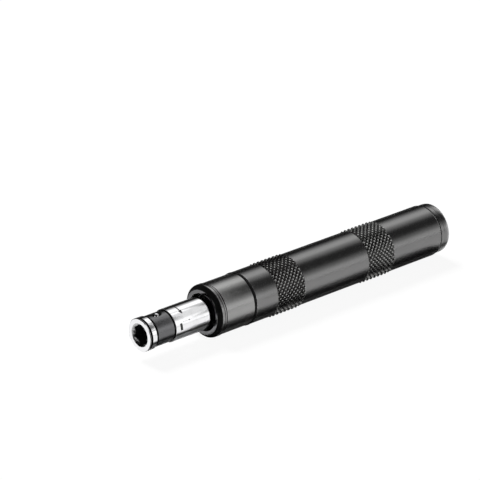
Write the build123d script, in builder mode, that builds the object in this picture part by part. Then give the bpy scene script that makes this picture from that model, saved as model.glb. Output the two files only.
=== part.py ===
from build123d import *
import os
from math import cos, dist, pi, radians, sin, sqrt

# A small hand impact driver for quarter-inch hex bits, lying on its side.
# The axis of the tool is parallel to X, with the bit socket at -X and the striking cap at +X.
# Sizes are in millimetres. A station is a distance along the axis from the mouth of the socket.
# The origin is on the ground, under the middle of the tool, and the tool rests on its knurls.

# Fits and allowances that many pieces share
running_gap = 0.04
seat_gap = 0.02
face_gap = 0.05
edge_break = 0.15
overrun = 1.0

# What a blow does: the holder goes in by the plunge while the cam turns it
plunge = 4.0
cam_turn = 20.0
ball_travel = 0.4

# Bit holder, chrome plated. Its wall is measured at a corner of the socket.
socket_across_flats = 6.45
socket_depth = 16.4
socket_wall = 1.28
socket_floor = 2.4
mouth_flare = 0.43
holder_tail_round = 0.8
holder_front_bevel = 0.12
front_ring_width = 0.3
ring_groove_width = 0.7
ring_groove_depth = 0.4

# Black spring sleeve on the holder, and the ball that it traps
sleeve_station = 3.45
sleeve_length = 7.3
sleeve_wall = 0.48
sleeve_seat_depth = 0.85
sleeve_end_gap = 0.4
sleeve_split = 0.8
sleeve_hole_radius = 1.05
ball_radius = 1.25
ball_reach = 0.35

# Screw through the floor of the socket, which ties the holder to the spindle
screw_radius = 1.5
screw_length = 6.0
screw_head_radius = 2.7
screw_head_height = 1.8
screw_key_across_flats = 2.0
screw_key_depth = 1.1

# Spindle: keyed spigot, bearing shaft, cam section and tail
shaft_step = 1.9
spigot_step = 0.35
spigot_flat_depth = 0.6
spigot_length = 5.9
spigot_end_gap = 0.1
cam_section_step = 1.0
cam_section_rest = 5.35
tail_step = 0.45
tail_length = 8.5
drive_pin_radius = 1.5

# Nose nut and what it holds
nose_gap = 0.75
recess_gap = 0.8
nut_wall = 1.25
nut_floor = 4.0
nut_bevel_length = 1.15
nut_bevel_height = 1.38
nut_head_length = 2.95
circlip_clearance = 0.3
circlip_thickness = 0.6
circlip_width = 1.2
circlip_grip = 0.35
circlip_opening = 3.0
seal_thickness = 1.4
seal_ridge_height = 0.4
seal_ridge_count = 3
bush_wall = 1.41
bush_flange_height = 0.8
bush_flange_thickness = 1.0
stop_washer_thickness = 0.8

# Front collar and its rubber ring. The nose nut and the barrel stand proud of it by the step.
collar_wall = 1.31
collar_step = 0.15
collar_length = 12.8
collar_neck_depth = 0.73
collar_spigot_wall = 1.18
collar_spigot_relief = 0.15
ring_room = 1.0
ring_radius = 0.48

# Cam sleeve and the two dowels that key it
cam_wall = 1.91
cam_front_wall = 2.6
cam_rear_wall = 0.65
dowel_radius = 1.0
dowel_inset = 2.0
dowel_depth = 1.3

# Barrel: its bore, knurls and rear edge. The diamonds have flat tops, and the tool lies on one
# row of them, so each knurled band has as many flats around it as the knurl has diamonds.
barrel_length = 88.6
barrel_bore_gap = 1.05
front_knurl_setback = 9.55
knurl_length = 12.65
knurl_spacing = 30.2
knurl_height = 0.36
knurl_rise = 0.3
knurl_count = 34
barrel_bevel_length = 0.7

# Return spring and its two seats
pivot_ball_radius = 1.5
pivot_gap = 1.0
plunger_head_length = 3.5
plunger_stem_length = 12.0
stem_gap = 1.1
spring_gap = 0.7
spring_length = 35.0
spring_wire_radius = 0.6
spring_turns = 11
end_turn_gap = 0.5
seat_flange_length = 3.0
seat_stem_length = 14.0

# Striking cap with its long shank
cap_step = 0.33
cap_length = 4.1
cap_seam = 0.1
cap_round = 1.1
cap_pilot_length = 10.8
cap_thread_step = 0.93
cap_ring_setback = 1.0
cap_ring_radius = 0.8
cap_ring_squeeze = 0.1

# Radii, worked out from the socket outwards and then along the tool
socket_corner_radius = socket_across_flats / 2 / cos(pi / 6)
mouth_radius = socket_corner_radius + mouth_flare
sleeve_seat_radius = socket_corner_radius + socket_wall
sleeve_bore_radius = sleeve_seat_radius + seat_gap
holder_radius = sleeve_seat_radius + sleeve_seat_depth
ball_centre_radius = socket_corner_radius - ball_reach + ball_radius
recess_radius = holder_radius + recess_gap
nut_thread_radius = recess_radius + nut_wall
nut_bore_radius = nut_thread_radius + seat_gap
collar_radius = nut_bore_radius + collar_wall
body_radius = collar_radius + collar_step
nut_face_radius = body_radius - nut_bevel_height
knurl_radius = body_radius + knurl_height
cap_radius = body_radius - cap_step
shaft_radius = holder_radius - shaft_step
spigot_radius = shaft_radius - spigot_step
spigot_across_flats = 2 * (spigot_radius - spigot_flat_depth)
tail_radius = shaft_radius - tail_step
bush_bore_radius = shaft_radius + running_gap
bush_radius = bush_bore_radius + bush_wall
bush_flange_radius = bush_radius + bush_flange_height
cam_section_radius = shaft_radius + cam_section_step
cam_bore_radius = cam_section_radius + running_gap
cam_sleeve_radius = cam_bore_radius + cam_wall
collar_bore_radius = cam_sleeve_radius + seat_gap
collar_spigot_radius = collar_bore_radius + collar_spigot_wall
collar_neck_radius = collar_radius - collar_neck_depth
collar_ring_centre_radius = collar_neck_radius + ring_radius + seat_gap
barrel_bore_radius = cam_section_radius + barrel_bore_gap
plunger_radius = barrel_bore_radius - running_gap
spring_radius = barrel_bore_radius - spring_gap - spring_wire_radius
stem_radius = spring_radius - spring_wire_radius - stem_gap
cap_thread_radius = barrel_bore_radius + cap_thread_step
cap_ring_centre_radius = cap_thread_radius - cap_ring_squeeze - cap_ring_radius
cap_groove_radius = cap_ring_centre_radius - cap_ring_radius - seat_gap

# Each seat of the pivot ball is a square-cornered cone, as deep as it is wide at its mouth
pivot_seat_depth = (pivot_ball_radius + running_gap) * sqrt(2) - pivot_gap / 2

# Stations, worked out from the front to the rear
sleeve_rear = sleeve_station + sleeve_length
ball_station = sleeve_station + sleeve_length / 2
screw_head_rear = socket_depth + screw_head_height
spigot_station = screw_head_rear + socket_floor + spigot_end_gap
holder_length = spigot_station + spigot_length
nose_face = holder_length + nose_gap
nut_seat = nose_face + nut_head_length
circlip_station = holder_length + plunge + circlip_clearance
seal_station = circlip_station + circlip_thickness + face_gap
flange_station = seal_station + seal_thickness + face_gap
nut_floor_station = flange_station + bush_flange_thickness
nut_rear = nut_floor_station + nut_floor
washer_station = nut_rear + face_gap
cam_station = washer_station + stop_washer_thickness + face_gap
drive_pin_station = cam_station + cam_front_wall + drive_pin_radius
cam_section_station = cam_station + face_gap
tail_station = drive_pin_station + drive_pin_radius + cam_section_rest
spindle_rear = tail_station + tail_length
pivot_station = spindle_rear + pivot_gap / 2
plunger_station = spindle_rear + pivot_gap
spring_station = plunger_station + plunger_head_length + face_gap
seat_station = spring_station + spring_length + face_gap
seat_rear = seat_station + seat_flange_length
cap_thread_front = seat_rear + cap_pilot_length
window_rear = drive_pin_station + plunge + drive_pin_radius
dowel_station = window_rear + cam_rear_wall + dowel_radius
cam_sleeve_rear = dowel_station + dowel_inset
collar_rear = nut_seat + collar_length
barrel_front = collar_rear + ring_room
collar_spigot_rear = cam_sleeve_rear - collar_spigot_relief
barrel_rear = barrel_front + barrel_length
cap_front = barrel_rear + cap_seam
tool_length = cap_front + cap_length
cap_ring_station = barrel_rear - cap_ring_setback - cap_ring_radius
knurl_stations = [
    barrel_front + front_knurl_setback,
    barrel_front + front_knurl_setback + knurl_length + knurl_spacing,
]

half_length = tool_length / 2
axis_height = knurl_radius * cos(pi / knurl_count)
side = Plane(origin=(-half_length, 0, axis_height), x_dir=(1, 0, 0), z_dir=(0, -1, 0))
tool_axis = Axis((-half_length, 0, axis_height), (1, 0, 0))


def across(station, turn=0.0):
    """Plane square to the axis at a station, facing the rear, with x up or turned from it."""
    up = (0, -sin(radians(turn)), cos(radians(turn)))
    return Plane(origin=(station - half_length, 0, axis_height), x_dir=up, z_dir=(1, 0, 0))


def outline(*corners):
    """Closed outline of (station, radius) corners, drawn in the plane that holds the axis."""
    with BuildSketch(side) as drawing:
        with BuildLine():
            Polyline(*corners, close=True)
        make_face()
    return drawing.sketch


def ring(start, end, inner, outer):
    """Outline of a plain ring between two stations and two radii."""
    return outline((start, inner), (end, inner), (end, outer), (start, outer))


def finish(sub_part, name):
    """Label one sub-part and write it under its own name."""
    sub_part.part.label = name
    export_step(sub_part.part, f"parts/{name}.step")


os.makedirs("parts", exist_ok=True)

# Bit holder: a turned body with a hex socket in front and a keyed bore behind.
# A vertex of the hexagon points up, and the ball comes through the wall there.
with BuildPart() as bit_holder:
    revolve(
        outline(
            (0, 0),
            (0, holder_radius - holder_front_bevel),
            (holder_front_bevel, holder_radius),
            (holder_length, holder_radius),
            (holder_length, 0),
        ),
        axis=tool_axis,
    )
    fillet(bit_holder.edges().group_by(Axis.X)[-1], holder_tail_round)
    groove_rear = front_ring_width + ring_groove_width
    groove_radius = holder_radius - ring_groove_depth
    revolve(
        ring(front_ring_width, groove_rear, groove_radius, holder_radius + overrun),
        axis=tool_axis,
        mode=Mode.SUBTRACT,
    )
    seat_front = sleeve_station - sleeve_end_gap
    seat_end = sleeve_rear + sleeve_end_gap
    revolve(
        ring(seat_front, seat_end, sleeve_seat_radius, holder_radius + overrun),
        axis=tool_axis,
        mode=Mode.SUBTRACT,
    )
    with BuildSketch(across(0)):
        RegularPolygon(socket_corner_radius, 6)
    extrude(amount=socket_depth, mode=Mode.SUBTRACT)
    revolve(
        outline((-overrun, 0), (-overrun, mouth_radius + overrun), (mouth_radius, 0)),
        axis=tool_axis,
        mode=Mode.SUBTRACT,
    )
    with BuildSketch(across(socket_depth)):
        Circle(screw_head_radius + running_gap)
    extrude(amount=screw_head_height, mode=Mode.SUBTRACT)
    with BuildSketch(across(socket_depth)):
        Circle(screw_radius + running_gap)
    extrude(amount=holder_length - socket_depth, mode=Mode.SUBTRACT)
    with BuildSketch(across(spigot_station - spigot_end_gap)):
        Circle(spigot_radius + seat_gap)
        keyed_width = spigot_across_flats + 2 * seat_gap
        Rectangle(2 * holder_radius, keyed_width, mode=Mode.INTERSECT)
    extrude(amount=spigot_length + spigot_end_gap, mode=Mode.SUBTRACT)
    with BuildSketch(Plane.XY.offset(axis_height + ball_centre_radius)):
        with Locations((ball_station - half_length, 0)):
            Circle(ball_radius + running_gap)
    extrude(amount=holder_radius, mode=Mode.SUBTRACT)
    with Locations((ball_station - half_length, 0, axis_height + ball_centre_radius)):
        Sphere(ball_radius + running_gap, mode=Mode.SUBTRACT)
finish(bit_holder, "bit_holder")

# Spring sleeve: a split tube that is sprung over the holder and keeps the ball in
with BuildPart() as retaining_sleeve:
    sleeve_radius = sleeve_bore_radius + sleeve_wall
    revolve(
        outline(
            (sleeve_station, sleeve_bore_radius),
            (sleeve_rear, sleeve_bore_radius),
            (sleeve_rear, sleeve_radius - edge_break),
            (sleeve_rear - edge_break, sleeve_radius),
            (sleeve_station + edge_break, sleeve_radius),
            (sleeve_station, sleeve_radius - edge_break),
        ),
        axis=tool_axis,
    )
    with BuildSketch(across(sleeve_station - overrun)):
        with Locations((-sleeve_radius, 0)):
            Rectangle(2 * sleeve_radius, sleeve_split)
    extrude(amount=sleeve_length + 2 * overrun, mode=Mode.SUBTRACT)
    with BuildSketch(Plane.XY.offset(axis_height)):
        with Locations((ball_station - half_length, 0)):
            Circle(sleeve_hole_radius)
    extrude(amount=holder_radius + overrun, mode=Mode.SUBTRACT)
    with Locations((ball_station - half_length, 0, axis_height + ball_centre_radius)):
        Sphere(ball_radius + running_gap, mode=Mode.SUBTRACT)
finish(retaining_sleeve, "retaining_sleeve")

# Ball that clicks into the neck of a bit
with BuildPart() as detent_ball:
    with Locations((ball_station - half_length, 0, axis_height + ball_centre_radius)):
        Sphere(ball_radius)
finish(detent_ball, "detent_ball")

# Screw that draws the holder on to the spindle
with BuildPart() as holder_screw:
    head_front = socket_depth + face_gap
    revolve(
        outline(
            (head_front, 0),
            (head_front, screw_head_radius - edge_break),
            (head_front + edge_break, screw_head_radius),
            (screw_head_rear, screw_head_radius),
            (screw_head_rear, screw_radius),
            (screw_head_rear + screw_length - edge_break, screw_radius),
            (screw_head_rear + screw_length, screw_radius - edge_break),
            (screw_head_rear + screw_length, 0),
        ),
        axis=tool_axis,
    )
    with BuildSketch(across(head_front)):
        RegularPolygon(screw_key_across_flats / 2 / cos(pi / 6), 6)
    extrude(amount=screw_key_depth, mode=Mode.SUBTRACT)
finish(holder_screw, "holder_screw")

# Spindle: carries the holder in front and the drive pin in its cam section
with BuildPart() as spindle:
    revolve(
        outline(
            (spigot_station, 0),
            (spigot_station, spigot_radius - edge_break),
            (spigot_station + edge_break, spigot_radius),
            (holder_length, spigot_radius),
            (holder_length, shaft_radius),
            (cam_section_station, shaft_radius),
            (cam_section_station, cam_section_radius),
            (tail_station - edge_break, cam_section_radius),
            (tail_station, cam_section_radius - edge_break),
            (tail_station, tail_radius),
            (spindle_rear - edge_break, tail_radius),
            (spindle_rear, tail_radius - edge_break),
            (spindle_rear, pivot_seat_depth),
            (spindle_rear - pivot_seat_depth, 0),
        ),
        axis=tool_axis,
    )
    for turn in (90, -90):
        with BuildSketch(across(spigot_station, turn)):
            with Locations((spigot_across_flats / 2 + spigot_radius / 2, 0)):
                Rectangle(spigot_radius, 2 * spigot_radius)
        extrude(amount=spigot_length, mode=Mode.SUBTRACT)
    with BuildSketch(across(spigot_station)):
        Circle(screw_radius + seat_gap)
    extrude(amount=screw_length, mode=Mode.SUBTRACT)
    with BuildSketch(Plane.XZ.offset(-cam_section_radius)):
        with Locations((drive_pin_station - half_length, axis_height)):
            Circle(drive_pin_radius)
    extrude(amount=2 * cam_section_radius, mode=Mode.SUBTRACT)
finish(spindle, "spindle")

# Drive pin, pressed across the spindle, whose ends ride in the windows of the cam sleeve
with BuildPart() as drive_pin:
    drive_pin_reach = sqrt(cam_sleeve_radius**2 - drive_pin_radius**2) - face_gap
    with BuildSketch(Plane.XZ.offset(-drive_pin_reach)):
        with Locations((drive_pin_station - half_length, axis_height)):
            Circle(drive_pin_radius)
    extrude(amount=2 * drive_pin_reach)
    chamfer(drive_pin.edges().filter_by(GeomType.CIRCLE), edge_break)
finish(drive_pin, "drive_pin")

# Nose nut: the bright ring and black bevel in front, screwed into the collar
with BuildPart() as nose_nut:
    revolve(
        outline(
            (nose_face, recess_radius),
            (nose_face, nut_face_radius),
            (nose_face + nut_bevel_length, body_radius),
            (nut_seat - edge_break, body_radius),
            (nut_seat, body_radius - edge_break),
            (nut_seat, nut_thread_radius),
            (nut_rear, nut_thread_radius),
            (nut_rear, bush_radius + seat_gap),
            (nut_floor_station, bush_radius + seat_gap),
            (nut_floor_station, recess_radius),
        ),
        axis=tool_axis,
    )
    groove_end = circlip_station + circlip_thickness
    clip_groove_radius = recess_radius + circlip_grip
    revolve(
        ring(circlip_station, groove_end, recess_radius - overrun, clip_groove_radius),
        axis=tool_axis,
        mode=Mode.SUBTRACT,
    )
finish(nose_nut, "nose_nut")

# Circlip that holds the seal and the bush in the nose nut
with BuildPart() as nose_circlip:
    clip_radius = clip_groove_radius - seat_gap
    clip_front = circlip_station + seat_gap
    clip_rear = groove_end - seat_gap
    revolve(
        ring(clip_front, clip_rear, recess_radius - circlip_width + circlip_grip, clip_radius),
        axis=tool_axis,
    )
    with BuildSketch(across(circlip_station)):
        with Locations((-clip_radius, 0)):
            Rectangle(clip_radius, circlip_opening)
    extrude(amount=circlip_thickness, mode=Mode.SUBTRACT)
finish(nose_circlip, "nose_circlip")

# Dust seal with rounds of ridges on its front
with BuildPart() as dust_seal:
    seal_inner = bush_bore_radius
    seal_outer = recess_radius - seat_gap
    ridge_step = (seal_outer - seal_inner) / (2 * seal_ridge_count)
    seal_rear = seal_station + seal_thickness
    seal_corners = [(seal_rear, seal_outer), (seal_rear, seal_inner)]
    for i in range(2 * seal_ridge_count + 1):
        sunk = seal_ridge_height * (1 - i % 2)
        seal_corners.append((seal_station + sunk, seal_inner + i * ridge_step))
    revolve(outline(*seal_corners), axis=tool_axis)
finish(dust_seal, "dust_seal")

# Flanged bronze bush that the spindle turns and slides in
with BuildPart() as nose_bush:
    revolve(
        outline(
            (flange_station, bush_bore_radius),
            (flange_station, bush_flange_radius),
            (nut_floor_station, bush_flange_radius),
            (nut_floor_station, bush_radius),
            (nut_rear, bush_radius),
            (nut_rear, bush_bore_radius),
        ),
        axis=tool_axis,
    )
finish(nose_bush, "nose_bush")

# Washer that the shoulder of the spindle stops against
with BuildPart() as stop_washer:
    washer_rear = washer_station + stop_washer_thickness
    revolve(
        ring(washer_station, washer_rear, shaft_radius + 2 * running_gap, cam_sleeve_radius),
        axis=tool_axis,
    )
finish(stop_washer, "stop_washer")

# Front collar: holds the nose nut in front, the cam sleeve inside and the barrel behind
with BuildPart() as front_collar:
    revolve(
        outline(
            (nut_seat, nut_bore_radius),
            (nut_seat, collar_radius - edge_break),
            (nut_seat + edge_break, collar_radius),
            (collar_rear - edge_break, collar_radius),
            (collar_rear, collar_radius - edge_break),
            (collar_rear, collar_neck_radius),
            (barrel_front, collar_neck_radius),
            (barrel_front, collar_spigot_radius),
            (collar_spigot_rear, collar_spigot_radius),
            (collar_spigot_rear, collar_bore_radius),
            (nut_rear, collar_bore_radius),
            (nut_rear, nut_bore_radius),
        ),
        axis=tool_axis,
    )
    with BuildSketch(Plane.XY.offset(axis_height - collar_radius)):
        with Locations((dowel_station - half_length, 0)):
            Circle(dowel_radius)
    extrude(amount=2 * collar_radius, mode=Mode.SUBTRACT)
finish(front_collar, "front_collar")

# Rubber ring in the groove between the collar and the barrel
with BuildPart() as collar_ring:
    with BuildSketch(side):
        with Locations((collar_rear + ring_room / 2, collar_ring_centre_radius)):
            Circle(ring_radius)
    revolve(axis=tool_axis)
finish(collar_ring, "collar_ring")

# Cam sleeve: two windows whose slanted flanks turn the drive pin as it is driven back.
# In the base of a window the pin is set by hand to one side or the other, which picks the
# direction of the turn. Both flanks meet at the apex. Here the pin lies on the side that
# loosens a right-hand screw.
with BuildPart() as cam_sleeve:
    revolve(
        ring(cam_station, cam_sleeve_rear, cam_bore_radius, cam_sleeve_radius),
        axis=tool_axis,
    )
    flank_reach = cam_sleeve_radius * sin(radians(cam_turn))
    pin_room = drive_pin_radius / cos(radians(cam_turn)) + face_gap
    for turn in (cam_turn, cam_turn + 180):
        facing = (0, cos(radians(turn)), sin(radians(turn)))
        window_origin = (drive_pin_station - half_length, 0, axis_height)
        with BuildSketch(Plane(origin=window_origin, x_dir=(1, 0, 0), z_dir=facing)):
            with BuildLine():
                Polyline((0, -flank_reach), (plunge, 0), (0, flank_reach), close=True)
            make_face()
            offset(amount=pin_room, kind=Kind.ARC)
        extrude(amount=cam_sleeve_radius + overrun, mode=Mode.SUBTRACT)
    with BuildSketch(Plane.XY.offset(axis_height - cam_sleeve_radius)):
        with Locations((dowel_station - half_length, 0)):
            Circle(dowel_radius)
    extrude(amount=2 * cam_sleeve_radius, mode=Mode.SUBTRACT)
finish(cam_sleeve, "cam_sleeve")

# Two dowels that lock the cam sleeve to the collar, held in by the bore of the barrel
with BuildPart() as cam_dowels:
    dowel_inner = cam_sleeve_radius - dowel_depth
    with BuildSketch(Plane.XY.offset(axis_height + dowel_inner)):
        with Locations((dowel_station - half_length, 0)):
            Circle(dowel_radius)
    extrude(amount=collar_spigot_radius - dowel_inner - face_gap)
    mirror(about=Plane.XY.offset(axis_height))
finish(cam_dowels, "cam_dowels")

# Barrel: bored through, with two knurled bands left standing a little proud
with BuildPart() as barrel:
    spigot_bore_radius = collar_spigot_radius + seat_gap
    cap_bore_radius = cap_thread_radius + seat_gap
    barrel_corners = [
        (barrel_front, spigot_bore_radius),
        (barrel_front, body_radius - edge_break),
        (barrel_front + edge_break, body_radius),
    ]
    for start in knurl_stations:
        end = start + knurl_length
        barrel_corners += [(start, body_radius), (start + knurl_rise, knurl_radius)]
        barrel_corners += [(end - knurl_rise, knurl_radius), (end, body_radius)]
    barrel_corners += [
        (barrel_rear - barrel_bevel_length, body_radius),
        (barrel_rear, cap_radius),
        (barrel_rear, cap_bore_radius),
        (cap_thread_front, cap_bore_radius),
        (cap_thread_front, barrel_bore_radius),
        (cam_sleeve_rear, barrel_bore_radius),
        (cam_sleeve_rear, spigot_bore_radius),
    ]
    revolve(outline(*barrel_corners), axis=tool_axis)
    for start in knurl_stations:
        with BuildSketch(across(start)):
            Circle(knurl_radius + overrun)
            RegularPolygon(
                knurl_radius,
                knurl_count,
                rotation=180 / knurl_count,
                mode=Mode.SUBTRACT,
            )
        extrude(amount=knurl_length, mode=Mode.SUBTRACT)
finish(barrel, "barrel")

# Ball between the spindle and the spring plunger, so that the spindle turns freely
with BuildPart() as pivot_ball:
    with Locations((pivot_station - half_length, 0, axis_height)):
        Sphere(pivot_ball_radius)
finish(pivot_ball, "pivot_ball")

# Plunger that carries the push of the return spring
with BuildPart() as spring_plunger:
    head_end = plunger_station + plunger_head_length
    revolve(
        outline(
            (plunger_station + pivot_seat_depth, 0),
            (plunger_station, pivot_seat_depth),
            (plunger_station, plunger_radius - edge_break),
            (plunger_station + edge_break, plunger_radius),
            (head_end, plunger_radius),
            (head_end, stem_radius),
            (head_end + plunger_stem_length - edge_break, stem_radius),
            (head_end + plunger_stem_length, stem_radius - edge_break),
            (head_end + plunger_stem_length, 0),
        ),
        axis=tool_axis,
    )
finish(spring_plunger, "spring_plunger")


# Return spring: plain turns between two close end turns
close_pitch = 2 * spring_wire_radius + end_turn_gap
wire_travel = spring_length - 2 * spring_wire_radius
open_pitch = (wire_travel - 2 * close_pitch) / (spring_turns - 2)


def spring_point(turns):
    """Point on the middle of the wire after a number of turns."""
    opened = min(max(turns - 1, 0), spring_turns - 2)
    along = open_pitch * opened + close_pitch * (turns - opened)
    angle = 2 * pi * turns
    start = spring_station + spring_wire_radius - half_length
    return Vector(
        start + along,
        spring_radius * cos(angle),
        axis_height + spring_radius * sin(angle),
    )


def spring_direction(turns):
    """Direction of the wire there, averaged over the pitch on its two sides."""
    ahead = min(turns + 1 / 2, spring_turns)
    behind = max(turns - 1 / 2, 0)
    rise = (spring_point(ahead).X - spring_point(behind).X) / (ahead - behind)
    angle = 2 * pi * turns
    round_trip = 2 * pi * spring_radius
    return Vector(rise, -round_trip * sin(angle), round_trip * cos(angle)).normalized()


with BuildPart() as return_spring:
    with BuildLine() as wire_path:
        for half_turn in range(2 * spring_turns):
            first = spring_point(half_turn / 2)
            last = spring_point(half_turn / 2 + 1 / 2)
            leaving = spring_direction(half_turn / 2)
            arriving = spring_direction(half_turn / 2 + 1 / 2)
            chord = last - first
            both = leaving + arriving
            square = 4 - both.dot(both)
            across_both = chord.dot(both)
            reach = (sqrt(across_both**2 + square * chord.dot(chord)) - across_both) / square
            joint = (first + leaving * reach + last - arriving * reach) / 2
            TangentArc(first, joint, tangent=leaving)
            TangentArc(joint, last, tangent=wire_path.line % 1)
    with BuildSketch(Plane(origin=wire_path.line @ 0, z_dir=wire_path.line % 0)):
        Circle(spring_wire_radius)
    sweep()
finish(return_spring, "return_spring")

# Rear seat of the spring, pressed against the shank of the cap
with BuildPart() as spring_seat:
    seat_radius = barrel_bore_radius - seat_gap
    revolve(
        outline(
            (seat_station - seat_stem_length, 0),
            (seat_station - seat_stem_length, stem_radius - edge_break),
            (seat_station - seat_stem_length + edge_break, stem_radius),
            (seat_station, stem_radius),
            (seat_station, seat_radius),
            (seat_rear, seat_radius),
            (seat_rear, 0),
        ),
        axis=tool_axis,
    )
finish(spring_seat, "spring_seat")

# Striking cap: a hardened head on a long shank that fills the rear of the barrel
with BuildPart() as striking_cap:
    pilot_radius = barrel_bore_radius - seat_gap
    revolve(
        outline(
            (seat_rear, 0),
            (seat_rear, pilot_radius),
            (cap_thread_front, pilot_radius),
            (cap_thread_front, cap_thread_radius),
            (cap_front, cap_thread_radius),
            (cap_front, cap_radius - edge_break),
            (cap_front + edge_break, cap_radius),
            (tool_length, cap_radius),
            (tool_length, 0),
        ),
        axis=tool_axis,
    )
    fillet(striking_cap.edges().group_by(Axis.X)[-1], cap_round)
    ring_front = cap_ring_station - cap_ring_radius - seat_gap
    ring_rear = cap_ring_station + cap_ring_radius + seat_gap
    revolve(
        ring(ring_front, ring_rear, cap_groove_radius, cap_thread_radius + overrun),
        axis=tool_axis,
        mode=Mode.SUBTRACT,
    )
finish(striking_cap, "striking_cap")

# Rubber ring in the groove of the shank, which stops the cap from working loose
with BuildPart() as cap_ring:
    with BuildSketch(side):
        with Locations((cap_ring_station, cap_ring_centre_radius)):
            Circle(cap_ring_radius)
    revolve(axis=tool_axis)
finish(cap_ring, "cap_ring")

# Least gap between turns of the spring, measured on points along the wire
points_per_turn = 24
wire_points = [
    tuple(spring_point(step / points_per_turn))
    for step in range(points_per_turn * spring_turns + 1)
]
turn_gap = min(
    dist(point, other) - 2 * spring_wire_radius
    for step, point in enumerate(wire_points)
    for other in wire_points[step + points_per_turn // 2 :]
)
print(f"least gap between turns of the return spring: {turn_gap:.2f} mm")
print(f"tool length {tool_length:.3f} mm, barrel radius {body_radius:.3f} mm")
print(f"knurl radius {knurl_radius:.3f} mm, axis at {axis_height:.4f} mm")
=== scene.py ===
from math import cos, hypot, pi, radians, sin, tan

import bmesh
import bpy
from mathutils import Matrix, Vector


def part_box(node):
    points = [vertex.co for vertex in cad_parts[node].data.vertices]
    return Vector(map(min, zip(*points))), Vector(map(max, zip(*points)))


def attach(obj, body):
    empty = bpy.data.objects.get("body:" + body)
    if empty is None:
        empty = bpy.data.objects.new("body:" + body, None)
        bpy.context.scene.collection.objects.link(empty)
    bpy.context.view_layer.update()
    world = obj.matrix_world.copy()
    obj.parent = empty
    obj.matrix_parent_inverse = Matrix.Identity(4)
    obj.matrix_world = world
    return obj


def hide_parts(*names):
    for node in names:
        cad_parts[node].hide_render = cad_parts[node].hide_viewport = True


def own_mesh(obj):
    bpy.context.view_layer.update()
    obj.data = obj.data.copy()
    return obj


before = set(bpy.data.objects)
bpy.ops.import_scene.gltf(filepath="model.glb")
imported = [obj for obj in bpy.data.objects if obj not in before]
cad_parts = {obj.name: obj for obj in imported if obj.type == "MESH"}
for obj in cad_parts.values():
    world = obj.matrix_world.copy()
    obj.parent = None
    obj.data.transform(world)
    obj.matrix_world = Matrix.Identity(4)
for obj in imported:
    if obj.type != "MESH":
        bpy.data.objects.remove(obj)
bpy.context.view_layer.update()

# A small hand impact driver lying on its knurls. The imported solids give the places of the
# pieces; this file gives the pieces that show their turned edges, knurls, marks and finishes.
# Lengths are written in millimetres times MM. Stations run along the axis from the mouth of
# the socket, at -X, to the striking cap, at +X.
MM = 0.001

holder_low, holder_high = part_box("bit_holder")
sleeve_low, sleeve_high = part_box("retaining_sleeve")
ball_low, ball_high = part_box("detent_ball")
nut_low, nut_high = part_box("nose_nut")
collar_low, collar_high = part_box("front_collar")
ring_low, ring_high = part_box("collar_ring")
barrel_low, barrel_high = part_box("barrel")
cap_low, cap_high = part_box("striking_cap")
seal_low, seal_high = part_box("dust_seal")
clip_low, clip_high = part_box("nose_circlip")
spring_low, spring_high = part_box("return_spring")
bush_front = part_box("nose_bush")[0][0]
cam_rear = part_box("cam_sleeve")[1][0]
spindle_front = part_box("spindle")[0][0]


def outer_radius(low, high):
    """Radius of a turned piece that fills a box."""
    return (high[1] - low[1]) / 2


# Gap between pieces that sit on one another, and easings of edges
seat_gap = 0.02 * MM
hair_edge = 0.02 * MM
fine_edge = 0.05 * MM
soft_edge = 0.1 * MM
full_edge = 0.2 * MM

mouth = holder_low[0]
axis_height = (barrel_low[2] + barrel_high[2]) / 2
holder_radius = outer_radius(holder_low, holder_high)
sleeve_radius = outer_radius(sleeve_low, sleeve_high)
body_radius = outer_radius(nut_low, nut_high)
collar_radius = outer_radius(collar_low, collar_high)
cap_radius = outer_radius(cap_low, cap_high)
recess_radius = outer_radius(seal_low, seal_high) + seat_gap
crest_radius = axis_height
nose_seam = collar_low[0] + 0.4 * MM
cap_thread_front = barrel_high[0] - 20.8 * MM

around = 240
turns_around = [2 * pi * step / around for step in range(around)]
arc_steps = 4


# Building turned pieces


def at(x, radius, turn):
    """Point at a place along the axis, a radius and a turn from the top."""
    return (x, radius * sin(turn), axis_height + radius * cos(turn))


def circle(x, radius):
    """Points of a circle round the axis at one place along it, or its middle alone."""
    if radius == 0:
        return [at(x, 0.0, 0.0)]
    return [at(x, radius, turn) for turn in turns_around]


def eased(corners, closed):
    """Points of a profile, with a short curve in place of each corner that has an easing.

    A corner is (x, radius, easing), or (x, radius, easing, finish of the strip that follows)."""
    points = []
    count = len(corners)
    for number, corner in enumerate(corners):
        x, radius, easing = corner[:3]
        finish = corner[3] if len(corner) > 3 else None
        at_end = not closed and number in (0, count - 1)
        if easing == 0 or at_end:
            points.append((x, radius, finish))
            continue
        here = Vector((x, radius))
        before = Vector(corners[number - 1][:2])
        after = Vector(corners[(number + 1) % count][:2])
        start = here + (before - here).normalized() * easing
        end = here + (after - here).normalized() * easing
        for step in range(arc_steps + 1):
            share = step / arc_steps
            point = start * (1 - share) ** 2 + here * 2 * share * (1 - share) + end * share**2
            points.append((point.x, point.y, finish))
    return points


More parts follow.
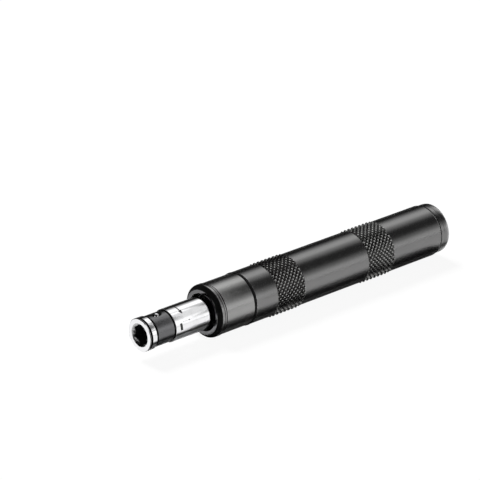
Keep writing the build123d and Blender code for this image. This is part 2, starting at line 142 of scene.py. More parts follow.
def skinned(name, rows, finishes, closed=True):
    """Mesh object through rows of points, each row a loop or a single point.

    A row is (points, finish of the strip that follows it), where None is the first finish."""
    weld = 0.0005 * MM
    mesh = bmesh.new()
    loops = [[mesh.verts.new(point) for point in points] for points, finish in rows]
    pairs = len(rows) if closed else len(rows) - 1
    for number in range(pairs):
        here = loops[number]
        there = loops[(number + 1) % len(rows)]
        finish = rows[number][1]
        index = 0 if finish is None else finishes.index(finish)
        count = max(len(here), len(there))
        for step in range(count):
            after = (step + 1) % count
            corners = [here[step % len(here)], here[after % len(here)]]
            corners += [there[after % len(there)], there[step % len(there)]]
            face = mesh.faces.new(list(dict.fromkeys(corners)))
            face.smooth = True
            face.material_index = index
    bmesh.ops.remove_doubles(mesh, verts=mesh.verts, dist=weld)
    bmesh.ops.recalc_face_normals(mesh, faces=mesh.faces)
    return placed(name, mesh, finishes)


def placed(name, mesh, finishes):
    """Object at the origin that holds a mesh, whose place is in the mesh."""
    data = bpy.data.meshes.new(name)
    mesh.to_mesh(data)
    mesh.free()
    for finish in finishes:
        data.materials.append(finish)
    piece = bpy.data.objects.new(name, data)
    bpy.context.scene.collection.objects.link(piece)
    return piece


def turned(name, corners, finishes, closed=True):
    """Turned piece with the outline of its corners."""
    rows = [(circle(x, radius), finish) for x, radius, finish in eased(corners, closed)]
    return skinned(name, rows, finishes, closed)


def settled(piece):
    """Turn what a piece's modifiers give into its plain mesh."""
    graph = bpy.context.evaluated_depsgraph_get()
    data = bpy.data.meshes.new_from_object(piece.evaluated_get(graph))
    piece.modifiers.clear()
    piece.data = data
    return piece


def cut(piece, cutter):
    """Take the cutter's shape out of a piece. The cutter's finish is left on the cut."""
    boolean = piece.modifiers.new("cut", "BOOLEAN")
    boolean.operation = "DIFFERENCE"
    boolean.solver = "EXACT"
    boolean.material_mode = "TRANSFER"
    boolean.object = cutter
    settled(piece)
    bpy.data.objects.remove(cutter)
    return piece


def block(name, middle, size, finish):
    """Square-cornered cutter round a middle."""
    mesh = bmesh.new()
    bmesh.ops.create_cube(mesh, size=1)
    for vertex in mesh.verts:
        for way in range(3):
            vertex.co[way] = middle[way] + vertex.co[way] * size[way]
    return placed(name, mesh, [finish])


def upright_drill(name, low_radius, high_radius, base, finish, height=8 * MM):
    """Upright drill over the ball, that starts at a base and may widen on its way up."""
    mesh = bmesh.new()
    bmesh.ops.create_cone(
        mesh, cap_ends=True, segments=64, radius1=low_radius, radius2=high_radius, depth=height
    )
    middle = (ball_low[0] + ball_high[0]) / 2
    bmesh.ops.translate(mesh, verts=mesh.verts, vec=(middle, 0, base + height / 2))
    return placed(name, mesh, [finish])


def crisp(piece, width=0.0):
    """Ease the sharp edges of a piece by a width, and keep its wide faces flat to the light."""
    if width:
        bevel = piece.modifiers.new("edges", "BEVEL")
        bevel.width = width
        bevel.segments = 2
        bevel.limit_method = "ANGLE"
        bevel.angle_limit = radians(35)
        bevel.use_clamp_overlap = True
    for polygon in piece.data.polygons:
        polygon.use_smooth = True
    flat = piece.modifiers.new("flat faces", "WEIGHTED_NORMAL")
    flat.keep_sharp = False
    flat.weight = 80
    return settled(piece)


def true_round(piece, radius):
    """Let a turned side with openings cut in it take the light as one smooth cylinder."""
    on_side = 0.003 * MM
    facing_out = 0.985
    mesh = piece.data
    facing = [corner.vector.copy() for corner in mesh.corner_normals]
    for polygon in mesh.polygons:
        for corner in polygon.loop_indices:
            place = mesh.vertices[mesh.loops[corner].vertex_index].co
            outward = Vector((0, place.y, place.z - axis_height))
            off_side = abs(outward.length - radius)
            outward.normalize()
            if off_side < on_side and polygon.normal.dot(outward) > facing_out:
                facing[corner] = outward
    mesh.normals_split_custom_set(facing)
    return piece


def finished(piece, body, slot, *nodes):
    """Give a piece its body and hide the nodes that it stands for. The slot is not used."""
    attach(piece, body)
    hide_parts(*nodes)
    return piece


# Finishes


class Network:
    """Nodes of one tree, with short ways to add and join them."""

    def __init__(self, tree):
        self.nodes = tree.nodes
        self.links = tree.links

    def add(self, kind, **settings):
        node = self.nodes.new(kind)
        for setting, value in settings.items():
            setattr(node, setting, value)
        return node

    def join(self, source, target):
        """Link an output to an input, or set the input where the source is a plain value."""
        if isinstance(source, (int, float, tuple)):
            target.default_value = source
        else:
            self.links.new(source, target)

    def fill(self, node, values):
        """Give a node's inputs their values, by name or in their order."""
        pairs = values.items() if isinstance(values, dict) else enumerate(values)
        for key, value in pairs:
            self.join(value, node.inputs[key])
        return node

    def calculate(self, operation, *values):
        return self.fill(self.add("ShaderNodeMath", operation=operation), values).outputs[0]

    def sum(self, first, second):
        return self.calculate("ADD", first, second)

    def product(self, first, second):
        return self.calculate("MULTIPLY", first, second)

    def weighted(self, base, *parts):
        """A number plus each of some patterns by its own weight."""
        total = base
        for pattern, weight in parts:
            total = self.sum(self.product(pattern, weight), total)
        return total

    def eased_range(self, value, low, high, first=0.0, last=1.0, kind="SMOOTHSTEP"):
        """Value taken from a range to another, with soft ends unless the kind says otherwise."""
        node = self.add("ShaderNodeMapRange", interpolation_type=kind)
        given = {"Value": value, "From Min": low, "From Max": high, "To Min": first, "To Max": last}
        return self.fill(node, given).outputs["Result"]

    def mix(self, share, first, second):
        """Number between two, by a share."""
        node = self.add("ShaderNodeMix")
        return self.fill(node, {"Factor": share, "A": first, "B": second}).outputs["Result"]

    def blend(self, share, first, second):
        """Colour between two, by a share."""
        node = self.fill(self.add("ShaderNodeMix", data_type="RGBA"), {"Factor": share})
        for colour, socket in ((first, node.inputs[6]), (second, node.inputs[7])):
            self.join((*colour, 1.0) if isinstance(colour, tuple) else colour, socket)
        return node.outputs[2]

    def grey_ramp(self, share, stops):
        """Grey that changes softly from stop to stop, each (share, brightness)."""
        node = self.fill(self.add("ShaderNodeValToRGB"), {"Fac": share})
        node.color_ramp.interpolation = "EASE"
        points = node.color_ramp.elements
        for number, (position, grey) in enumerate(stops):
            point = points[number] if number < 2 else points.new(position)
            point.position = position
            point.color = (grey, grey, grey, 1)
        return node.outputs["Color"]

    def split(self, source):
        """The X, Y and Z of a vector."""
        return self.fill(self.add("ShaderNodeSeparateXYZ"), (source,)).outputs

    def vector(self, x, y, z):
        return self.fill(self.add("ShaderNodeCombineXYZ"), (x, y, z)).outputs[0]


class Finish(Network):
    """Nodes of one procedural finish, whose patterns lie on the piece's own coordinates."""

    def __init__(self, name, metallic, **numbers):
        self.material = bpy.data.materials.new(name)
        self.material.use_nodes = True
        super().__init__(self.material.node_tree)
        self.shader = self.nodes["Principled BSDF"]
        self.shader.inputs["Metallic"].default_value = metallic
        for socket, value in numbers.items():
            self.shader.inputs[socket.replace("_", " ")].default_value = value
        place = self.add("ShaderNodeTexCoord").outputs["Object"]
        self.place = self.vector_sum("SUBTRACT", place, (0, 0, axis_height))
        parts = self.split(self.place)
        self.along = parts["X"]
        squares = self.sum(self.product(parts["Y"], parts["Y"]), self.product(parts["Z"], parts["Z"]))
        self.radius = self.calculate("SQRT", squares)
        self.turning = self.sum(self.along, self.radius)

    def vector_sum(self, operation, first, second):
        node = self.add("ShaderNodeVectorMath", operation=operation)
        return self.fill(node, (first, second)).outputs[0]

    def cloud(self, size, detail, stretch=(1, 1, 1)):
        """Soft noise from 0 to 1, whose grain is about as large as size."""
        scaled = self.vector_sum("MULTIPLY", self.place, stretch)
        given = {"Scale": 1 / size, "Detail": detail, "Vector": scaled}
        return self.fill(self.add("ShaderNodeTexNoise"), given).outputs["Fac"]

    def lathe_lines(self, pitch, detail=2.0):
        """Noise that changes only along the cut of a turning tool, on sides and faces alike."""
        given = {"Scale": 1 / pitch, "Detail": detail, "W": self.turning}
        return self.fill(self.add("ShaderNodeTexNoise", noise_dimensions="1D"), given).outputs["Fac"]

    def near(self, station, width):
        """Mask that is 1 at a place along the axis and fades out over a width."""
        off = self.calculate("ABSOLUTE", self.calculate("SUBTRACT", self.along, station))
        return self.eased_range(off, 0.0, width, 1.0, 0.0)

    def set(self, colour, roughness, *reliefs):
        """Give the shader its colour, its roughness and its reliefs one on top of the other, each
        (pattern, depth, strength), and hand back the material."""
        given = {"Base Color": colour, "Roughness": roughness}
        for pattern, depth, strength in reliefs:
            bump = self.add("ShaderNodeBump")
            self.fill(bump, {"Strength": strength, "Distance": depth, "Height": pattern})
            if "Normal" in given:
                self.join(given["Normal"], bump.inputs["Normal"])
            given["Normal"] = bump.outputs["Normal"]
        self.fill(self.shader, given)
        return self.material


def toned(colour, share):
    """Colour made lighter or darker by a share."""
    return tuple(value * share for value in colour)


def grey(level):
    return (level, level, level)


def satin_black(name, colour, worn_places=(), wear_width=0.0, roughness=0.23):
    """Dark plated steel: fine turned lines, uneven sheen and bare metal on worn edges."""
    finish = Finish(name, 1.0)
    lines = finish.lathe_lines(0.11 * MM)
    sheen = finish.cloud(6 * MM, 4)
    grain = finish.cloud(0.12 * MM, 2)
    dust = finish.eased_range(finish.cloud(0.35 * MM, 5), 0.66, 0.8)
    shade = finish.blend(sheen, toned(colour, 0.9), toned(colour, 1.1))
    rough = finish.weighted(roughness - 0.07, (lines, 0.06), (sheen, 0.08), (dust, 0.12))
    if worn_places:
        worn = 0.0
        for place in worn_places:
            worn = finish.calculate("MAXIMUM", worn, finish.near(place, wear_width))
        chips = finish.eased_range(finish.cloud(0.5 * MM, 6), 0.36, 0.6)
        worn = finish.product(worn, chips)
        shade = finish.blend(finish.product(worn, 0.75), shade, (0.62, 0.62, 0.63))
    return finish.set(shade, rough, (lines, 0.004 * MM, 0.5), (grain, 0.002 * MM, 0.5))


def knurled_black(name, colour):
    """Dark plated knurl, brighter towards the points of its diamonds: partly rubbed bare metal, partly a
    painted highlight on the crests.
    """
    finish = Finish(name, 1.0)
    sheen = finish.cloud(4 * MM, 4)
    grain = finish.cloud(0.15 * MM, 3)
    # Brighter crests: rubbed metal and a painted highlight.
    points = finish.eased_range(finish.radius, crest_radius - 0.35 * MM, crest_radius - 0.04 * MM)
    rubbed = finish.product(points, finish.eased_range(finish.cloud(2.5 * MM, 4), 0.2, 0.6, 0.4, 1.0))
    shade = finish.blend(rubbed, colour, (0.44, 0.44, 0.43))
    rough = finish.weighted(0.2, (sheen, 0.1))
    return finish.set(shade, rough, (grain, 0.006 * MM, 0.6))


def matt_black_shade(name):
    """Near-black matt coat with the rings of the turning tool still showing through. It is painted shade in
    the seams, grooves, gaps and recesses and in the dish round the ball's hole, and it is also the black of
    the nose nut's bevel.
    """
    finish = Finish(name, 0.0, IOR=1.4, Specular_IOR_Level=0.12)
    rings = finish.lathe_lines(0.17 * MM, 3)
    grain = finish.cloud(0.1 * MM, 3)
    shade = finish.blend(rings, grey(0.002), grey(0.009))
    rough = finish.weighted(0.4, (grain, 0.2))
    return finish.set(shade, rough, (rings, 0.012 * MM, 0.6), (grain, 0.003 * MM, 0.5))


def polished_chrome(name, colour=(0.87, 0.87, 0.88), roughness=0.07):
    """Chrome plate: nearly a mirror, with faint polishing lines and haze from handling."""
    finish = Finish(name, 1.0)
    lines = finish.lathe_lines(0.16 * MM)
    smudges = finish.eased_range(finish.cloud(3.5 * MM, 5), 0.45, 0.75)
    shade = finish.blend(smudges, colour, toned(colour, 0.93))
    rough = finish.weighted(roughness, (smudges, 0.05), (lines, 0.05))
    return finish.set(shade, rough, (lines, 0.0015 * MM, 0.4))


def bare_turned(name, colour, roughness):
    """Bare steel with the rings of the turning tool, a little stained."""
    finish = Finish(name, 1.0)
    lines = finish.lathe_lines(0.13 * MM, 3)
    stain = finish.cloud(1.6 * MM, 5)
    shade = finish.blend(stain, toned(colour, 0.78), colour)
    rough = finish.weighted(roughness - 0.14, (lines, 0.16), (stain, 0.14))
    return finish.set(shade, rough, (lines, 0.008 * MM, 0.7))


def shaded_socket_steel(name):
    """Walls of the socket and the holder's bores, made dark as painted shade inside the holder, with scores
    along the axis.
    """
    finish = Finish(name, 0.85)
    scores = finish.cloud(0.25 * MM, 4, (0.04, 1, 1))
    dirt = finish.cloud(1.2 * MM, 4)
    shade = finish.blend(dirt, (0.03, 0.03, 0.032), grey(0.1))
    rough = finish.weighted(0.35, (scores, 0.25))
    return finish.set(shade, rough, (scores, 0.012 * MM, 0.7))


def moulded_rubber(name):
    """Black rubber with a fine matt grain and a dusty bloom."""
    finish = Finish(name, 0.0, IOR=1.5, Specular_IOR_Level=0.18)
    grain = finish.cloud(0.08 * MM, 3)
    bloom = finish.cloud(1.4 * MM, 4)
    shade = finish.blend(bloom, grey(0.004), grey(0.014))
    rough = finish.weighted(0.5, (bloom, 0.2))
    return finish.set(shade, rough, (grain, 0.006 * MM, 0.6))


def filled_mark(name):
    """Black fill in an engraved mark."""
    finish = Finish(name, 0.0, IOR=1.45)
    grain = finish.cloud(0.1 * MM, 3)
    shade = finish.blend(grain, grey(0.004), grey(0.03))
    rough = finish.weighted(0.4, (grain, 0.3))
    return finish.set(shade, rough, (grain, 0.006 * MM, 1.0))


def sintered_bronze(name):
    """Porous bronze of a bush, a little oily."""
    finish = Finish(name, 1.0)
    pores = finish.eased_range(finish.cloud(0.1 * MM, 2), 0.3, 0.55)
    oil = finish.cloud(2 * MM, 3)
    shade = finish.blend(pores, (0.2, 0.13, 0.07), (0.62, 0.44, 0.24))
    rough = finish.weighted(0.25, (oil, 0.25))
    return finish.set(shade, rough, (pores, 0.01 * MM, 0.7))


def struck_black(name, colour, rim):
    """Dark plated cap, rubbed along its rim and bruised where the hammer has met its end."""
    finish = Finish(name, 1.0)
    lines = finish.lathe_lines(0.14 * MM)
    sheen = finish.cloud(5 * MM, 4)
    on_face = finish.eased_range(finish.along, rim - 0.5 * MM, rim - 0.02 * MM)
    bruises = finish.eased_range(finish.cloud(1.9 * MM, 4), 0.56, 0.66)
    central = finish.eased_range(finish.radius, 3.5 * MM, 8.2 * MM, 1.0, 0.0)
    bare = finish.product(finish.product(bruises, on_face), central)
    on_rim = finish.eased_range(finish.along, rim - 1.7 * MM, rim - 0.5 * MM)
    outermost = finish.eased_range(finish.radius, 6.5 * MM, 8.4 * MM)
    patches = finish.eased_range(finish.cloud(1.5 * MM, 5), 0.25, 0.6, 0.3, 0.6)
    rubbed = finish.product(finish.product(on_rim, outermost), patches)
    shade = finish.blend(sheen, toned(colour, 0.9), toned(colour, 1.1))
    worn = finish.calculate("MAXIMUM", finish.product(bare, 0.8), rubbed)
    shade = finish.blend(worn, shade, (0.6, 0.6, 0.61))
    rough = finish.weighted(0.16, (lines, 0.08), (sheen, 0.08), (bare, 0.12))
    return finish.set(shade, rough, (lines, 0.006 * MM, 0.6), (bare, 0.05 * MM, 0.6))


# Bit holder: chrome, with the hex socket, the turned groove and the engraved marks


def hexagon_radius(turn, across_flats):
    """Distance from the axis to a hexagon with a corner at the top, at a turn from the top."""
    return across_flats / 2 / cos((turn % (pi / 3)) - pi / 6)


def hexagon_rows(across_flats, depth, mouth_radius, walls, lead_in):
    """Rows of the hex socket at its floor, and where its walls meet the cone of the mouth."""
    rows = []
    for deep in (True, False):
        loop = []
        for turn in turns_around:
            reach = hexagon_radius(turn, across_flats)
            loop.append(at(mouth + (depth if deep else mouth_radius - reach), reach, turn))
        rows.append((loop, walls if deep else lead_in))
    return rows


def ribbon(name, path, depth, finish):
    """Cutter that follows a path of (station, turn from the top, width) round the holder."""
    rows = []
    for number, (station, turn, width) in enumerate(path):
        before = path[max(number - 1, 0)]
        after = path[min(number + 1, len(path) - 1)]
        along = after[0] - before[0]
        round_way = holder_radius * (after[1] - before[1])
        length = hypot(along, round_way)
        aside = Vector((-round_way / length, along / length)) * width / 2
        loop = [
            at(mouth + station + side * aside.x, holder_radius + reach, turn + side * aside.y / holder_radius)
            for side, reach in ((1, -depth), (-1, -depth), (-1, depth), (1, depth))
        ]
        rows.append((loop, finish))
    cutter = skinned(name, rows, [finish], closed=False)
    mesh = bmesh.new()
    mesh.from_mesh(cutter.data)
    bmesh.ops.holes_fill(mesh, edges=mesh.edges)
    bmesh.ops.recalc_face_normals(mesh, faces=mesh.faces)
    mesh.to_mesh(cutter.data)
    mesh.free()
    return cutter


def marks(finish):
    """Cutters of the holder's generic marks.

    Each runs from its first to its last station, turn up from the front in degrees, and width,
    over a number of points."""
    depth = 0.08 * MM
    front = -90
    sweeps = {
        "curved_line": (5, (14.8, 15.3), (104, 59), (0.48, 0.48)),
        "arrow_head": (3, (15.2, 15.5), (64, 51), (1.4, 0.3)),
        "bar": (5, (13.4, 13.52), (21, -3), (0.95, 0.95)),
        "fine_line": (2, (13.6, 17.0), (25, 24), (0.07, 0.07)),
        "dot": (2, (17.0, 17.45), (24, 24), (0.4, 0.3)),
    }
    cutters = []
    for name, (count, stations, degrees, widths) in sweeps.items():
        path = []
        for step in range(count):
            share = step / (count - 1)
            station, up, width = (
                first + (last - first) * share for first, last in (stations, degrees, widths)
            )
            path.append((station * MM, radians(front + up), width * MM))
        cutters.append(ribbon(name, path, depth, finish))
    return cutters


def make_bit_holder(chrome, shaded_walls, worn, matt_shade, fill):
    """The holder, a ring of rows from the mouth over the outside and back through its bores."""
    across_flats = 6.45 * MM
    socket_depth = 16.4 * MM
    mouth_radius = across_flats / 2 / cos(pi / 6) + 0.43 * MM
    front_bevel = 0.2 * MM
    easing = 0.04 * MM
    ring_end = mouth + 0.3 * MM
    groove_end = mouth + 1.05 * MM
    groove_radius = holder_radius - 0.4 * MM
    seat_radius = holder_radius - 0.85 * MM
    seat_front = sleeve_low[0] - 0.6 * MM
    seat_rear = sleeve_high[0] + 0.4 * MM
    rings_under_marks = (12.9, 14.3, 16.1, 17.8)
    rear_round = 0.8 * MM
    spigot_bore = 3.63 * MM
    spigot_floor = spindle_front - 0.1 * MM
    screw_bore = 1.54 * MM
    head_bore = 2.74 * MM
    head_floor = mouth + socket_depth + 1.8 * MM
    ball_bore = 1.29 * MM
    rear = holder_high[0]
    outside = [
        (mouth, mouth_radius, 0),
        (mouth, holder_radius - front_bevel, easing),
        (mouth + front_bevel, holder_radius, easing),
        # Matt black on the groove behind the front ring and on the seat at the sleeve's front is painted
        # shade.
        (ring_end, holder_radius, fine_edge, matt_shade),
        (ring_end, groove_radius, soft_edge, matt_shade),
        (groove_end, groove_radius, soft_edge, matt_shade),
        (groove_end, holder_radius, fine_edge),
        (seat_front, holder_radius, easing, matt_shade),
        (seat_front, seat_radius, fine_edge, matt_shade),
        (seat_rear, seat_radius, fine_edge, matt_shade),
        (seat_rear, holder_radius, soft_edge),
        *((mouth + station * MM, holder_radius, 0) for station in rings_under_marks),
        (rear, holder_radius, rear_round),
        (rear, spigot_bore, 0),
    ]
    rows = [(circle(x, radius), finish) for x, radius, finish in eased(outside, False)]
    inside = [
        (spigot_floor, spigot_bore),
        (spigot_floor, screw_bore),
        (head_floor, screw_bore),
        (head_floor, head_bore),
        (mouth + socket_depth, head_bore),
    ]
    # The bores and the socket's walls take the dark steel: painted shade inside the holder.
    rows += [(circle(x, radius), shaded_walls) for x, radius in inside]
    # The cone of the mouth takes the worn grey plate, darker than chrome as painted shade.
    rows += hexagon_rows(across_flats, socket_depth, mouth_radius, shaded_walls, worn)
    holder = skinned("bit_holder_shell", rows, [chrome, shaded_walls, worn, matt_shade])
    ball_middle = (ball_low[2] + ball_high[2]) / 2
    cut(holder, upright_drill("ball_bore", ball_bore, ball_bore, ball_middle, shaded_walls))
    for cutter in marks(fill):
        cut(holder, cutter)
    return true_round(crisp(holder, 0.025 * MM), holder_radius)


# Retaining sleeve: split spring tube with the hole over the ball


def make_retaining_sleeve(oxide, matt_shade):
    """The black sleeve, with its eased ends, its dished hole and its split underneath."""
    outer = sleeve_radius
    bore = outer - 0.48 * MM
    front_bevel = 0.35 * MM
    split = 0.8 * MM
    overshoot = 2 * MM
    split_height = 3 * MM
    hole_radius = 1.05 * MM
    flare = 0.48 * MM
    flare_height = 3 * MM
    flare_growth = 7.2 * MM
    front = sleeve_low[0]
    rear = sleeve_high[0]
    corners = [
        # Matt black on the sleeve's front chamfer and rear face is painted shade in the gaps at its ends.
        (front, bore, fine_edge, matt_shade),
        (front, outer - front_bevel, 0.03 * MM, matt_shade),
        (front + front_bevel, outer, 0.04 * MM),
        (rear, outer, 0.12 * MM, matt_shade),
        (rear, bore, fine_edge),
    ]
    sleeve = turned("retaining_sleeve_tube", corners, [oxide, matt_shade])
    cut(sleeve, upright_drill("hole", hole_radius, hole_radius, axis_height, oxide))
    # The dish round the hole takes the matt black: painted shade round the ball.
    flare_base = axis_height + outer - flare
    dish_radius = hole_radius + flare_growth
    cut(sleeve, upright_drill("dish", hole_radius, dish_radius, flare_base, matt_shade, flare_height))
    middle = ((front + rear) / 2, 0, axis_height - outer)
    cut(sleeve, block("slit", middle, (rear - front + overshoot, split, split_height), oxide))
    return true_round(crisp(sleeve, fine_edge), outer)


# Nose nut, seal, circlip, collar and the ring behind it


def make_nose_nut(black, gloss, matt_shade):
    """Nose nut: glossy front ring, wide matt bevel, narrow land with a fine line, and the
    recess behind the ring."""
    face = nut_low[0]
    seat = nose_seam
    rear = nut_high[0]
    thread_radius = 7.904 * MM
    bush_seat = 5.434 * MM
    floor = bush_front + 1.05 * MM
    groove_front = clip_low[0] - seat_gap
    groove_rear = clip_high[0] + seat_gap
    groove_radius = recess_radius + 0.35 * MM
    face_radius = body_radius - 1.38 * MM
    line = seat - 0.88 * MM
    line_width = 0.1 * MM
    line_depth = 0.13 * MM
    corners = [
        # Matt black on the bevel, the fine line, the seam and the recess; in the line, the seam and the
        # recess it is painted shade.
        (face, recess_radius, soft_edge, gloss),
        (face, face_radius - 0.1 * MM, hair_edge),
        (face + 0.08 * MM, face_radius + 0.02 * MM, hair_edge, matt_shade),
        (face + 1.07 * MM, body_radius - 0.16 * MM, soft_edge, matt_shade),
        (face + 1.5 * MM, body_radius - 0.03 * MM, soft_edge),
        (face + 1.65 * MM, body_radius, fine_edge),
        (line - line_width, body_radius, hair_edge, matt_shade),
        (line, body_radius - line_depth, hair_edge, matt_shade),
        (line + line_width, body_radius, hair_edge),
        (seat - 0.22 * MM, body_radius, 0.03 * MM, matt_shade),
        (seat, body_radius - 0.3 * MM, hair_edge, matt_shade),
        (seat, thread_radius, 0),
        (rear, thread_radius, full_edge),
        (rear, bush_seat, 0),
        (floor, bush_seat, 0),
        (floor, recess_radius, 0, matt_shade),
        (groove_rear, recess_radius, 0.04 * MM, matt_shade),
        (groove_rear, groove_radius, 0, matt_shade),
        (groove_front, groove_radius, 0, matt_shade),
        (groove_front, recess_radius, 0.06 * MM, matt_shade),
    ]
    return crisp(turned("nose_nut_ring", corners, [black, gloss, matt_shade]))


def make_dust_seal(rubber):
    """Dust seal with rounded ridges on its front and a lip that wipes the spindle."""
    inner = 3.994 * MM
    outer = recess_radius - seat_gap
    front = seal_low[0]
    rear = seal_high[0]
    ridges = 3
    ridge_height = 0.4 * MM
    step = (outer - inner) / (2 * ridges)
    corners = [(rear, outer, soft_edge), (rear, inner, soft_edge)]
    for number in range(2 * ridges + 1):
        sunk = ridge_height * (1 - number % 2)
        easing = 0 if number in (0, 2 * ridges) else full_edge
        corners.append((front + sunk, inner + number * step, easing))
    return crisp(turned("dust_seal_rings", corners, [rubber]))


def make_circlip(steel):
    """Circlip with eased edges, open at the bottom."""
    outer = recess_radius + 0.33 * MM
    inner = recess_radius - 0.85 * MM
    front = clip_low[0]
    rear = clip_high[0]
    opening = 3 * MM
    reach = 4 * MM
    corners = [
        (front, inner, 0.08 * MM),
        (front, outer, fine_edge),
        (rear, outer, fine_edge),
        (rear, inner, 0.08 * MM),
    ]
    clip = turned("nose_circlip_ring", corners, [steel])
    cut(clip, block("opening", (front, 0, axis_height - outer), (reach, opening, reach), steel))
    return crisp(clip, 0.06 * MM)


def make_front_collar(black, matt_shade):
    """Plain collar between the nose and the barrel, with its neck and spigot."""
    seat = nose_seam
    rear_face = ring_low[0] - seat_gap
    barrel_face = barrel_low[0]
    neck = collar_radius - 0.73 * MM
    spigot = 8.104 * MM
    spigot_end = collar_high[0]
    thread = 7.924 * MM
    cam_seat = 6.924 * MM
    nut_rear = nut_high[0]
    corners = [
        # Matt black on the seam chamfer, the rear face and the neck is painted shade where the collar meets
        # its neighbours.
        (seat, thread, 0, matt_shade),
        (seat, collar_radius - 0.12 * MM, hair_edge, matt_shade),
        (seat + 0.25 * MM, collar_radius, 0.04 * MM),
        (rear_face, collar_radius, soft_edge, matt_shade),
        (rear_face, neck, fine_edge, matt_shade),
        (barrel_face, neck, 0, matt_shade),
        (barrel_face, spigot, 0),
        (spigot_end, spigot, full_edge),
        (spigot_end, cam_seat, 0),
        (nut_rear, cam_seat, 0),
        (nut_rear, thread, 0),
    ]
    return crisp(turned("front_collar_shell", corners, [black, matt_shade]))


def make_collar_ring(rubber):
    """Rubber ring with the fine parting line of its mould round the outside."""
    middle_x = (ring_low[0] + ring_high[0]) / 2
    section = (ring_high[0] - ring_low[0]) / 2
    middle_radius = outer_radius(ring_low, ring_high) - section
    line_depth = 0.02 * MM
    points = 40
    rows = []
    for step in range(points):
        angle = 2 * pi * step / points
        reach = section - (line_depth if step % (points // 2) == points // 4 else 0)
        loop = circle(middle_x + reach * cos(angle), middle_radius + reach * sin(angle))
        rows.append((loop, rubber))
    return skinned("collar_ring_moulded", rows, [rubber])


# Barrel and its knurls

knurl_length = 12.65 * MM
knurl_setback = 9.55 * MM
knurl_gap = 30.2 * MM
first_knurl = barrel_low[0] + knurl_setback
knurl_starts = (first_knurl, first_knurl + knurl_length + knurl_gap)
diamonds_around = 34
diamonds_along = 7.25
groove_depth = 0.62 * MM
fade_length = 0.3 * MM


def knurl_inputs(tree):
    """Give the knurl's tree its named inputs, and hand back the key of each."""
    numbers = ("Start", "Row Step", "Crest Radius", "Base Radius", "Half Width", "Top Share", "Axis Height")
    sizes = {}
    for name in (*numbers, "Diamonds Around", "Rows"):
        kind = "NodeSocketFloat" if name in numbers else "NodeSocketInt"
        sizes[name] = tree.interface.new_socket(name, in_out="INPUT", socket_type=kind).identifier
    return sizes


def frustum(net, low_radius, high_radius, height, lift):
    """Four-sided block that goes from one radius to another on its way up."""
    cone = net.add("GeometryNodeMeshCone", fill_type="NGON")
    radii = {"Radius Bottom": low_radius, "Radius Top": high_radius}
    net.fill(cone, {"Vertices": 4, "Depth": height, **radii})
    raised = {"Geometry": cone.outputs["Mesh"], "Translation": net.vector(0.0, 0.0, lift)}
    return net.fill(net.add("GeometryNodeTransform"), raised).outputs["Geometry"]


def flat_topped_diamond(net, given):
    """Diamond with straight flanks and a broken edge round its flat top."""
    flank_share = 0.9
    edge_slope = 1.1
    height = net.calculate("SUBTRACT", given["Crest Radius"], given["Base Radius"])
    flank_height = net.product(height, flank_share)
    edge_height = net.calculate("SUBTRACT", height, flank_height)
    top_width = net.product(given["Half Width"], given["Top Share"])
    shoulder = net.sum(top_width, net.product(edge_height, edge_slope))
    flank = frustum(net, given["Half Width"], shoulder, flank_height, 0.0)
    edge = frustum(net, shoulder, top_width, edge_height, flank_height)
    diamond = net.add("GeometryNodeJoinGeometry")
    net.join(flank, diamond.inputs[0])
    net.join(edge, diamond.inputs[0])
    return diamond.outputs[0]


def knurl_tree(finish):
    """Geometry nodes that set flat-topped diamonds in staggered rows round a band."""
    tree = bpy.data.node_groups.new("knurled_band", "GeometryNodeTree")
    tree.interface.new_socket("Band", in_out="OUTPUT", socket_type="NodeSocketGeometry")
    sizes = knurl_inputs(tree)
    net = Network(tree)
    given = net.add("NodeGroupInput").outputs
    per_row = given["Diamonds Around"]
    index = net.add("GeometryNodeInputIndex").outputs[0]
    row = net.calculate("FLOOR", net.calculate("DIVIDE", index, per_row))
    place = net.calculate("MODULO", index, per_row)
    stagger = net.product(net.calculate("MODULO", row, 2.0), 0.5)
    angle = net.product(net.calculate("DIVIDE", net.sum(place, stagger), per_row), 2 * pi)
    x = net.sum(given["Start"], net.product(row, given["Row Step"]))
    y = net.product(given["Base Radius"], net.calculate("SINE", angle))
    rise = net.product(given["Base Radius"], net.calculate("COSINE", angle))
    spots = {
        "Count": net.product(per_row, given["Rows"]),
        "Position": net.vector(x, y, net.sum(given["Axis Height"], rise)),
    }
    instances = {
        "Points": net.fill(net.add("GeometryNodePoints"), spots).outputs[0],
        "Instance": flat_topped_diamond(net, given),
        "Rotation": net.vector(net.product(angle, -1.0), 0.0, 0.0),
    }
    setting = net.fill(net.add("GeometryNodeInstanceOnPoints"), instances)
    real = net.fill(net.add("GeometryNodeRealizeInstances"), (setting.outputs[0],))
    coat = net.fill(net.add("GeometryNodeSetMaterial"), {"Geometry": real.outputs[0]})
    coat.inputs["Material"].default_value = finish
    net.fill(net.add("NodeGroupOutput"), (coat.outputs[0],))
    return tree, sizes


